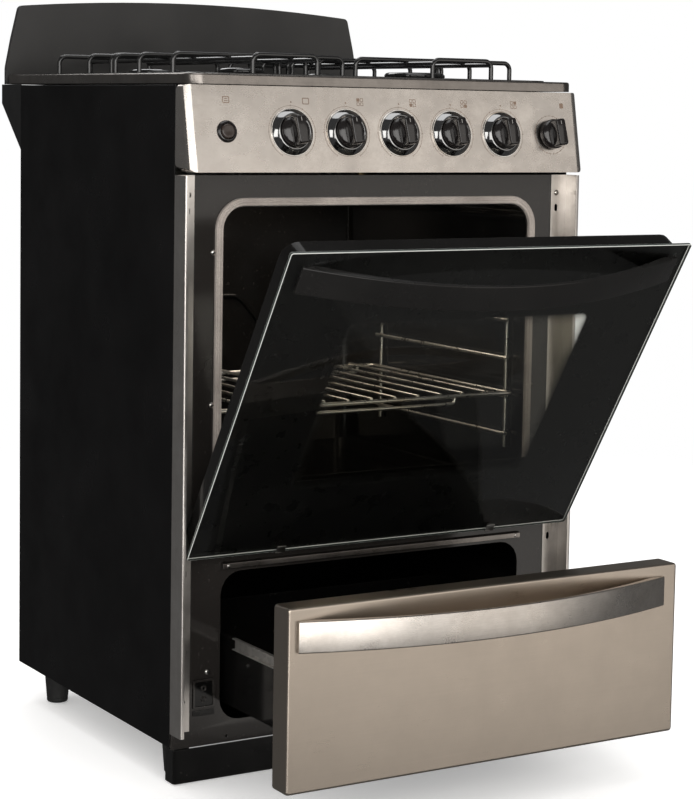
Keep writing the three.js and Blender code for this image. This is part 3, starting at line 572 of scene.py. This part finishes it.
def knob_shape():
    """Domed skirt under a flat-topped grip bar that is turned a little to the left."""
    turn = Matrix.Rotation(math.radians(6), 3, "Z")
    skirt = [(0, 3.6), (18.1, 3.6), (18.6, 4.1), (18.6, 9.0), (18.2, 10.4), (17.2, 11.7), (14.8, 13.0)]
    skirt += [(10, 14.2), (4, 14.8), (0, 15)]
    shape = Shape().turned(skirt, 96)
    rings = []
    for z, across, along, corner in (
        (8, 7.2, 16.6, 3), (19, 6.8, 17.0, 2.6), (23.4, 6.6, 16.6, 2.4), (24.9, 6.45, 16.0, 2.2),
        (25.7, 6.1, 15.2, 2.0), (26, 5.4, 14.2, 1.6),
    ):
        rings.append([turn @ Vector((u, v, z)) for u, v in rounded(-across, -along, across, along, corner)])
    shape.loft(rings)
    mark = [turn @ Vector((u, v, 0)) for u, v in rounded(-0.45, 9.2, 0.45, 14.0, 0.4, 3)]
    return shape.slab([(spot.x, spot.y) for spot in mark], 25.9, 26.06, look=1)


def bezel_shape():
    """Cone round a knob, open in the middle."""
    cone = [(19.4, 0.15), (27.4, 0.15), (27.6, 0.6), (27.5, 1.3), (26.9, 2.0), (24.4, 4.6), (21.9, 7.0)]
    cone += [(21.1, 7.5), (20.2, 7.6), (19.6, 7.3), (19.4, 6.6)]
    return Shape().turned(cone, 96, ring=True)


def rim_shape(inner, outer, height):
    """Thin bright ring round a bezel."""
    edge = [(inner, 0.05), (outer, 0.05), (outer, height * 0.7), (outer - 0.3, height), (inner, height)]
    return Shape().turned(edge, 96, ring=True)


def dial_marks(radius, start, end, ticks):
    """An etched arc with a short tick at each step."""
    thick = 0.2
    outer = arc(0, 0, radius + thick, start, end, 72)
    inner = arc(0, 0, radius - thick, end, start, 72)
    shape = Shape().slab(outer + inner, 0, ETCH)
    for step in range(ticks + 1):
        angle = start + (end - start) * step / ticks
        along = Vector((math.cos(angle), math.sin(angle)))
        side = Vector((-along.y, along.x)) * 0.22
        near, far = along * (radius - 0.9), along * (radius + 1.3)
        corners = (near - side, far - side, far + side, near + side)
        shape.slab([(spot.x, spot.y) for spot in corners], 0, ETCH)
    return shape


def pictogram(shape, at_x, at_y, filled=None):
    """A rounded square outline or four little squares, one of them filled."""
    if filled is None:
        outer = rounded(at_x - 4.6, at_y - 3.9, at_x + 4.6, at_y + 3.9, 1.4, 4)
        inner = rounded(at_x - 3.6, at_y - 2.9, at_x + 3.6, at_y + 2.9, 0.8, 4)
        return shape.band(outer, inner, 0, ETCH)
    for index in range(4):
        u = at_x + (index % 2 * 2 - 1) * 2.5
        v = at_y + (index // 2 * 2 - 1) * 2.5
        outer = rounded(u - 2.1, v - 2.1, u + 2.1, v + 2.1, 0.6, 3)
        if index == filled:
            shape.slab(outer, 0, ETCH)
        else:
            shape.band(outer, rounded(u - 1.4, v - 1.4, u + 1.4, v + 1.4, 0.3, 3), 0, ETCH)
    return shape


for number, filled in FILLED_SQUARE.items():
    node = f"knob_{number}"
    place = station(node)
    piece(f"knob_grip_{number}", knob_shape(), place, f"gas_knob_{number}",
          [KNOB_BLACK, PALE_INK], [node], angle=40)
    piece(f"knob_bezel_{number}", bezel_shape(), place, "cabinet", BEZEL_BLACK, angle=60)
    piece(f"bezel_rim_{number}", rim_shape(27.2, 28.7, 1.1), place, "cabinet", CHROME)
    marks = dial_marks(DIAL_RADIUS, math.radians(-60), math.radians(240), 10)
    marks.slab(arc(1, ICON_RISE - 1.4, 1.0, 0, 2 * math.pi * 11 / 12, 11), 0, ETCH)
    pictogram(marks, 21, ICON_RISE, filled)
    piece(f"dial_marks_{number}", marks, place, "cabinet", INK)

place = station("timer_knob")
piece("timer_grip", knob_shape(), place, "timer", [KNOB_BLACK, PALE_INK], ["timer_knob"],
      angle=40)
marks = dial_marks(TIMER_DIAL_RADIUS, math.radians(-85), math.radians(265), 24)
marks.slab(rounded(17.6, ICON_RISE - 3.2, 23.2, ICON_RISE + 3.2, 0.8, 3), 0, ETCH)
piece("timer_marks", marks, place, "cabinet", INK)

place = station("ignition_button")
button = [(0, -12), (8.6, -12), (8.6, 3.2), (8.3, 4.2), (7.4, 4.9), (6, 5.0), (3.4, 4.5), (0, 4.3)]
piece("igniter_button", Shape().turned(button, 64), place, "igniter", BUTTON_BROWN,
      ["ignition_button"], angle=50)
collar = [(9.3, -1.2), (9.3, 2.6), (9.8, 3.1), (10.8, 3), (12.4, 1.6), (13, 0.5), (13, 0.05)]
collar += [(10, 0.05), (10, -1.2)]
piece("button_collar", Shape().turned(collar, 64, ring=True), place, "cabinet", KNOB_BLACK,
      angle=50)
marks = pictogram(Shape(), 1.5, ICON_RISE)
for rise in (-1.2, 1.2):
    marks.slab(rounded(-0.6, ICON_RISE + rise - 0.45, 3.6, ICON_RISE + rise + 0.45, 0.2, 2), 0, ETCH)
piece("button_marks", marks, place, "cabinet", INK)

# ---- Hob: tray, burners, pan supports ----

TRAY = {"half": 254, "front": -3, "back": 481, "floor": 826.5, "lip": 836.5, "corner": 32}
TRAY_SURFACE = 826.8
BURNERS = {
    "front_left": (-127, 126, 29),
    "front_right": (127, 126, 39),
    "rear_left": (-127, 364, 36),
    "rear_right": (127, 364, 22),
}
GRATE = {"centre": 126.5, "span": 117, "wire": 2.9, "hoop": 44, "front": 17, "back": 473, "top": 862}
GRATE_BARS = (80, 171, 239, 250, 317, 411)


def tray_shape():
    """A pan with a rolled lip, and two pressed rings round each burner."""

    def ring(inset, z):
        outline = rounded(-TRAY["half"] + inset, TRAY["front"] + inset, TRAY["half"] - inset,
                          TRAY["back"] - inset, TRAY["corner"] - inset, 14)
        return [(u, v, z) for u, v in outline]

    lip, floor = TRAY["lip"], TRAY["floor"]
    walls = [(4.6, floor - 1.2), (3.4, floor + 1), (3.4, lip - 1.2), (0, lip - 1.2), (0, lip - 0.4)]
    walls += [(0.5, lip), (2.6, lip), (3.8, lip - 0.5), (4.4, lip - 1.6), (4.8, floor + 3.4)]
    walls += [(5.6, floor + 1.4), (7.4, floor + 0.3), (10, floor)]
    shape = Shape().loft([ring(inset, z) for inset, z in walls])
    for x, y, radius in BURNERS.values():
        for spread, rise in ((9, 1.5), (19, 0.9)):
            bead = radius + spread
            profile = [(bead - 4, floor - 0.3), (bead - 2.4, floor + rise * 0.6), (bead, floor + rise)]
            profile += [(bead + 2.4, floor + rise * 0.6), (bead + 4, floor - 0.3)]
            shape.turned(profile, 72, (x, y, 0), ring=True)
    return shape


def head_shape(x, y, radius):
    """Aluminium crown with a row of flame ports cut in its upper edge."""
    base = TRAY_SURFACE
    ports = 14 + round(radius * 0.6)
    sides = ports * 4
    port = 2.6

    def ring(reach, z, port_depth=0.0):
        spots = arc(x, y, 1, 0, 2 * math.pi * (1 - 1 / sides), sides - 1)
        line = []
        for index, (u, v) in enumerate(spots):
            length = reach - (port_depth if index % 4 > 1 else 0)
            line.append((x + (u - x) * length, y + (v - y) * length, z))
        return line

    rings = [ring(15, base - 24), ring(15, base), ring(19.2, base), ring(19.5, base + 2.5)]
    rings += [ring(radius - 3.4, base + 4.4), ring(radius - 2.2, base + 5.2), ring(radius - 1.6, base + 6.8)]
    rings += [ring(radius - 1.4, base + 7.4, port), ring(radius - 1, base + 11, port)]
    rings += [ring(radius - 5, base + 11.4)]
    return Shape().loft(rings)


def cap_shape(x, y, radius):
    """Low domed disc over a crown."""
    base = TRAY_SURFACE + 11.8
    profile = [(0, base), (radius - 0.6, base), (radius, base + 0.6), (radius, base + 2.4)]
    profile += [(radius - 0.6, base + 3.6), (radius - 2, base + 4.9), (radius - 4.6, base + 5.8)]
    profile += [(radius * 0.6, base + 6.2), (0, base + 6.2)]
    return Shape().turned(profile, 80, (x, y, 0))


def igniter_shape(x, y, radius):
    """Ceramic stub with a steel tip beside a burner."""
    reach = radius + 2.4
    spot = (x - reach * 0.8, y + reach * 0.6, 0)
    base = TRAY["floor"]
    top = base + 8
    shape = Shape().turned([(0, base), (2.4, base), (2.4, top - 1), (1.9, top), (0, top)], 20, spot)
    return shape.turned([(0, top), (0.8, top), (0.8, top + 4), (0, top + 4.4)], 12, spot, look=1)


def grate_shape(sign):
    """Bent wires that stand on the tray, joined by two long wires under them."""
    wire = GRATE["wire"]
    centre = sign * GRATE["centre"]
    foot = TRAY_SURFACE + 0.2
    across = GRATE["top"] - wire
    along = across - wire * 2 + 1.2
    shape = Shape()
    hoops = [(y, GRATE["span"]) for y in GRATE_BARS]
    hoops += [(GRATE["front"], GRATE["hoop"]), (GRATE["back"], GRATE["hoop"])]
    for y, reach in hoops:
        corners = [(centre - reach, y, foot), (centre - reach, y, across, 9), (centre + reach, y, across, 9),
                   (centre + reach, y, foot)]
        shape.tube(corners, wire, 18, 9)
    for offset in (-1, 1):
        x = centre + offset * (GRATE["hoop"] - 1)
        shape.tube([(x, GRATE["front"] - 1, along), (x, GRATE["back"] + 1, along)], wire, 18)
    return shape


piece("enamel_tray", tray_shape(), CABINET, "cabinet", HOB_ENAMEL, ["hob_tray"], angle=50)
for name, burner in BURNERS.items():
    piece(f"flame_crown_{name}", head_shape(*burner), CABINET, "cabinet", BURNER_METAL,
          [f"burner_head_{name}"], angle=30)
    piece(f"flame_cap_{name}", cap_shape(*burner), CABINET, f"cap_{name}", WIRE_ENAMEL,
          [f"burner_cap_{name}"], angle=50)
    piece(f"spark_{name}", igniter_shape(*burner), CABINET, "cabinet",
          [CERAMIC, BOLT_STEEL])
for word, sign in SIDES:
    piece(f"wire_support_{word}", grate_shape(sign), CABINET, f"grate_{word}", WIRE_ENAMEL,
          [f"pan_grate_{word}"], angle=60)

# ---- Oven: seal, guides, rack, back wall ----

OVEN = {"half": 217.6, "bottom": 306, "top": 681, "corner": 27, "back_wall": 428.5}
GUIDE = {"x": 213.5, "front": 30, "back": 331, "bottom": 366, "top": 540, "wire": 2.4}
RACK_LEVELS = (384, 433, 482, 531)
RACK = {"half": 207.8, "near": 14, "far": 345, "wire": 2.6, "bars": 11, "pitch": 34, "drop": 9.5}


def seal_shape():
    """A flattened braided bead: three soft ridges round the oven mouth."""
    section = [(1.0, -2.3), (1.0, -4.6), (1.5, -6.2), (2.5, -7.0), (3.4, -6.7), (4.0, -6.4), (4.7, -7.2)]
    section += [(5.75, -7.6), (6.8, -7.2), (7.5, -6.4), (8.1, -6.7), (9.0, -7.0), (10.0, -6.2)]
    section += [(10.5, -4.6), (10.5, -2.3)]
    rings = []
    for grow, y in section:
        outline = rounded(-OVEN["half"] - grow, OVEN["bottom"] - grow, OVEN["half"] + grow,
                          OVEN["top"] + grow, OVEN["corner"] + grow, 12)
        rings.append([(u, y, v) for u, v in outline])
    return Shape().loft(rings, True)


def guide_shape(sign):
    """Two posts and a rung for each rack level."""
    wire = GUIDE["wire"]
    x = sign * GUIDE["x"]
    shape = Shape()
    for y in (GUIDE["front"], GUIDE["back"]):
        shape.tube([(x, y, GUIDE["bottom"]), (x, y, GUIDE["top"])], wire, 14)
    rung = sign * (GUIDE["x"] - wire * 2 + 1)
    for z in RACK_LEVELS:
        shape.tube([(rung, GUIDE["front"] - 8, z), (rung, GUIDE["back"] + 8, z)], wire, 14)
    return shape


def rack_shape():
    """A bent rim with a front rail, bars over it and a dropped wire at each end."""
    half, near, far, wire = RACK["half"], RACK["near"], RACK["far"], RACK["wire"]
    z = RACK_LEVELS[1] + GUIDE["wire"] + 0.3 + wire
    low = z - RACK["drop"]
    rim = [(-half, near, z), (-half, far, z, 12), (half, far, z, 12), (half, near, z)]
    shape = Shape().tube(rim, wire, 14)
    shape.tube([(-half - 2, near, z), (half + 2, near, z)], wire + 0.1, 14)
    for index in range(RACK["bars"]):
        x = (index - (RACK["bars"] - 1) / 2) * RACK["pitch"]
        shape.tube([(x, near - 1, z + 3.4), (x, far + 1, z + 3.4)], 2, 12)
    for y, reach in ((near + 0.4, 124), (far - 0.4, 182)):
        shape.tube([(-reach, y, z), (-reach, y, low, 5), (reach, y, low, 5), (reach, y, z)], 2.2, 12)
    return shape


def wall_bead_shape():
    """The arched bead pressed in the oven's back wall."""
    wall = OVEN["back_wall"]
    half, shoulder = 92, 36
    arch = [(-half, wall, 420), (-half, wall, 471, 30), (-shoulder, wall, 535, 30)]
    arch += [(shoulder, wall, 535, 30), (half, wall, 471, 30), (half, wall, 420)]
    return Shape().tube(arch, 3.2, 12, 8)


piece("braided_seal", seal_shape(), CABINET, "cabinet", SEAL, ["oven_gasket"], angle=80)
piece("shelf", rack_shape(), CABINET, "oven_shelf", RACK_CHROME, ["oven_rack"], angle=70)
for word, sign in SIDES:
    piece(f"wire_guide_{word}", guide_shape(sign), CABINET, "cabinet", RACK_CHROME,
          [f"rack_guide_{word}"], angle=70)
piece("back_wall_bead", wall_bead_shape(), CABINET, "cabinet", OVEN_ENAMEL, angle=70)

# ---- Oven door: glass, printed border, handle, clips ----

DOOR_FACE = -12
DOOR_LOW = -19.8
DOOR_HIGH = 419.8
DOOR_HALF = 272.4
GLASS_THICK = 4
DRAWER_FACE = -38.6
GLASS_CLIPS = {"left": -149, "right": 153}
WINDOW = {"half": 165, "low": 75.2, "high": 319.2, "corner": 9}
DOTS = {"rows": 6, "pitch": 2.6, "row_gap": 2.2, "first": 1.15, "shrink": 0.15}


def window_outline(grow):
    return rounded(-WINDOW["half"] - grow, WINDOW["low"] - grow, WINDOW["half"] + grow,
                   WINDOW["high"] + grow, WINDOW["corner"] + grow, 8)


def pane_outline(inset, corner, steps):
    return rounded(-DOOR_HALF + inset, DOOR_LOW + inset, DOOR_HALF - inset, DOOR_HIGH - inset, corner, steps)


def pane_shape():
    """The glass, with its bevels painted light grey as a painted highlight and a dark ground edge between
    them.
    """
    rings = []
    for inset, y in ((0.7, 0), (0.2, 0.25), (0, 0.7), (0, 3.3), (0.2, 3.75), (0.7, GLASS_THICK)):
        rings.append([(u, DOOR_FACE + y, v) for u, v in pane_outline(inset, 3 - inset, 5)])
    shape = Shape().loft(rings)
    count = len(rings[0])
    bevel, edge, faces = [1] * count * 2, [2] * count, [0, 0]
    shape.looks = bevel + edge + bevel + faces
    return shape


def border_shape():
    """Black print on the back of the glass, fading into rows of dots round the window."""
    back = DOOR_FACE + GLASS_THICK + 0.02
    shape = Shape().band(pane_outline(1, 2, 8), window_outline(0), back, back + 0.12, "xz")
    for row in range(DOTS["rows"]):
        size = DOTS["first"] - DOTS["shrink"] * row
        line = [Vector(point) for point in window_outline(-1.1 - DOTS["row_gap"] * row)]
        travelled = 0.0
        for here, there in zip(line, line[1:] + line[:1]):
            length = (there - here).length
            while travelled < length:
                spot = here.lerp(there, travelled / length)
                shape.slab(arc(spot.x, spot.y, size, 0, 2 * math.pi * 7 / 8, 7), back, back + 0.1, "xz")
                travelled += DOTS["pitch"]
            travelled -= length
    return shape


def strap_shape(half, low, high, bow, face, shift=0.0):
    """Flat strap bowed away from a face, thicker where it lands. The shift is sideways."""
    steps = 64
    landing = half - 18
    rings = []
    for step in range(steps + 1):
        x = -half + 2 * half * step / steps
        outer = face - 4.3 - bow * (1 - (x / half) ** 2)
        inner = face - 0.3 - max(0.0, bow * (1 - (x / landing) ** 2))
        section = rounded(outer, low, inner, high, (1.6, 0.9, 0.9, 1.6), 5)
        rings.append([(x + shift, u, v) for u, v in section])
    return Shape().loft(rings)


def clip_shape(x):
    """A bent tab round the lower edge of the glass."""
    span = (x - 6, x + 6)
    front = DOOR_FACE - 0.9
    shape = Shape().box(span, (front, DOOR_FACE - 0.1), (DOOR_LOW - 1, DOOR_LOW + 9))
    return shape.box(span, (front, DOOR_FACE + GLASS_THICK + 0.4), (DOOR_LOW - 1, DOOR_LOW - 0.2))


piece("door_pane", pane_shape(), DOOR, "oven_door",
      [GLASS, GLASS_BEVEL_HIGHLIGHT, GLASS_SIDE], ["door_glass"], angle=60)
piece("door_print", border_shape(), DOOR, "oven_door", FRIT)
door_strap = strap_shape(half=255, low=369.7, high=403.7, bow=45, face=DOOR_FACE)
piece("door_strap", door_strap, DOOR, "oven_door", HANDLE_PAINT, ["door_handle"], angle=50)
for word, x in GLASS_CLIPS.items():
    piece(f"glass_clip_{word}", clip_shape(x), DOOR, "oven_door", BOLT_STEEL, bevel=0.25)
drawer_strap = strap_shape(half=251, low=213.5, high=248.5, bow=42, face=DRAWER_FACE, shift=-5)
piece("drawer_strap", drawer_strap, DRAWER, "storage_drawer", HANDLE_STEEL, ["drawer_handle"],
      angle=50)

# ---- Screws, catch plates, rivets ----

FRAME_FACE = -2
RAIL_FACE = -8
FRAME_SCREWS = ((230, 628), (230, 449), (232, 131))
FACING = Matrix.Rotation(math.pi / 2, 4, "X")


def screw_shape(radius=3.7, height=2.3):
    """Domed head with a raised cross in a second look; in dark paint that cross is painted shade for a cross
    recess.
    """
    slopes = [math.radians(step * 15) for step in range(6)]
    dome = [(radius * math.cos(slope), height * math.sin(slope)) for slope in slopes]
    shape = Shape().turned([(0, 0)] + dome + [(0, height)], 32)
    arm, width = radius * 0.52, radius * 0.14
    # The cross sits just proud of the dome: where it is dark, it is painted shade and not a cut recess.
    for across, along in ((arm, width), (width, arm)):
        shape.slab(rounded(-across, -along, across, along, 0.1, 2), height * 0.8, height + 0.03, look=1)
    return shape


def catch_shape():
    """A plate with a raised border, two hollow studs, and under it a black strip that is painted shade for a
    dark slot.
    """
    outline = rounded(-14.5, -17, 14.5, 18, 2, 4)
    plate = Shape().slab(outline, 0, 0.5)
    plate.band(outline, rounded(-12, -14.5, 12, 15.5, 1.5, 4), 0, 1.9, look=1)
    # Black strip: painted shade for the slot under the plate.
    plate.slab(rounded(-14.5, -26, 14.5, -19, 1, 4), 0, 0.7)
    stud = [(1.9, 0.4), (3.6, 0.4), (3.4, 1.3), (2.4, 1.5), (1.9, 1.2)]
    for rise in (-6, 7):
        plate.turned(stud, 24, (0, rise, 0), look=1, ring=True)
    return plate


def fix(name, shape, x, y, z, materials, bevel=0.0):
    """Fastens a piece to the cabinet's front, with its back at y."""
    place = CABINET @ Matrix.Translation((x, y, z)) @ FACING
    piece(name, shape, place, "cabinet", materials, bevel=bevel)


# Chrome heads; the dark paint on their crosses is painted shade for the recesses.
SCREW_AND_RECESS_SHADE = [CHROME, DARK_PAINT]
for word, sign in SIDES:
    for number, (x, z) in enumerate(FRAME_SCREWS, 1):
        fix(f"frame_screw_{word}_{number}", screw_shape(), sign * x, FRAME_FACE, z,
            SCREW_AND_RECESS_SHADE)
    fix(f"trim_screw_{word}", screw_shape(3.6, 2.2), sign * 263, FRAME_FACE, 695, SCREW_AND_RECESS_SHADE)
    fix(f"catch_plate_{word}", catch_shape(), sign * 236.5, FRAME_FACE, 105,
        [BAY_ENAMEL, FRAME_ENAMEL], 0.15)
    fix(f"rail_rivet_{word}", screw_shape(2.4, 1.2), sign * 208, RAIL_FACE, 257,
        [BOLT_STEEL, BOLT_STEEL])

# ---- Lights and floor ----

DIFFUSE_SKY = 1.0
GLOSSY_SKY = 0.09
FLOOR = {"radius": 4, "sides": 64, "level": -0.0005, "fade_from": 0.9, "fade_to": 2.4, "lift": 0.3}


def area_light(name, place, target, size, watts, colour=(1, 1, 1)):
    """A soft box in metres, aimed at the target."""
    data = bpy.data.lights.new(name, "AREA")
    data.shape = "RECTANGLE"
    data.size, data.size_y = size
    data.energy = watts
    data.color = colour
    light = bpy.data.objects.new(name, data)
    light.location = place
    light.rotation_euler = (Vector(target) - Vector(place)).to_track_quat("-Z", "Y").to_euler()
    bpy.context.scene.collection.objects.link(light)


def make_world():
    """Pale backdrop, even diffuse light, and dim surroundings for gloss to mirror."""
    world = bpy.data.worlds.new("studio")
    bpy.context.scene.world = world
    world.use_nodes = True
    nodes, links = world.node_tree.nodes, world.node_tree.links
    path = nodes.new("ShaderNodeLightPath")
    shade = nodes["Background"].outputs[0]
    nodes["Background"].inputs["Color"].default_value = (1, 0.985, 0.97, 1)
    nodes["Background"].inputs["Strength"].default_value = DIFFUSE_SKY
    for ray, strength in (("Is Glossy Ray", GLOSSY_SKY), ("Is Camera Ray", 1.0)):
        seen = nodes.new("ShaderNodeBackground")
        seen.inputs["Color"].default_value = (1, 1, 1, 1)
        seen.inputs["Strength"].default_value = strength
        mixed = nodes.new("ShaderNodeMixShader")
        links.new(path.outputs[ray], mixed.inputs[0])
        links.new(shade, mixed.inputs[1])
        links.new(seen.outputs[0], mixed.inputs[2])
        shade = mixed.outputs[0]
    links.new(shade, nodes["World Output"].inputs[0])


def make_floor():
    """A pale disc that fades out, lifted a little so that the shadow on it stays light."""
    look = Look("floor", Roughness=0.6, Emission_Strength=FLOOR["lift"])
    tint = look.blend(look.ramp(look.noise(3, 3), 0.3, 0.7, 0, 1), (0.96, 0.96, 0.96), (0.93, 0.93, 0.93))
    distance = look.node("ShaderNodeVectorMath", {"operation": "LENGTH"}, Vector=look.place).outputs["Value"]
    fade = look.ramp(distance, FLOOR["fade_from"], FLOOR["fade_to"], 1.0, 0.0)
    look.feed(Base_Color=tint, Emission_Color=tint, Alpha=fade)
    sides = FLOOR["sides"]
    rim = arc(0, 0, FLOOR["radius"], 0, 2 * math.pi * (1 - 1 / sides), sides - 1)
    mesh = bpy.data.meshes.new("floor")
    mesh.from_pydata([(u, v, FLOOR["level"]) for u, v in rim], [], [list(range(sides))])
    mesh.materials.append(look.material)
    floor = bpy.data.objects.new("floor", mesh)
    bpy.context.scene.collection.objects.link(floor)
    floor.visible_glossy = False
    floor.visible_shadow = False


bpy.context.scene.view_settings.view_transform = "Standard"
make_world()
make_floor()
area_light("front_box", (-0.45, -3.3, 0.75), (0, 0, 0.5), (1.8, 2.8), 46, (1, 0.98, 0.95))
area_light("right_box", (1.8, -3.3, 0.6), (0, -0.2, 0.55), (2.05, 3.2), 18.5, (1, 0.95, 0.89))
area_light("corner_box", (-2.0, -2.95, 1.1), (0, 0, 0.6), (1.3, 1.9), 20, (1, 0.98, 0.95))
area_light("left_box", (-2.9, -1.8, 1.2), (0, -0.1, 0.6), (0.7, 1.6), 12, (1, 0.98, 0.95))
area_light("overhead", (0.1, -0.1, 2.9), (0, 0, 0.6), (1.8, 1.4), 14)
area_light("rear_box", (0.3, 2.6, 2.8), (0, 0, 0.8), (1.8, 1.2), 24)
OVEN_LAMP = CABINET @ Vector((20, 325, 679))
area_light("oven_glow", OVEN_LAMP, OVEN_LAMP - Vector((0, 0, 0.279)), (0.3, 0.14), 0.5, (1, 0.88, 0.74))
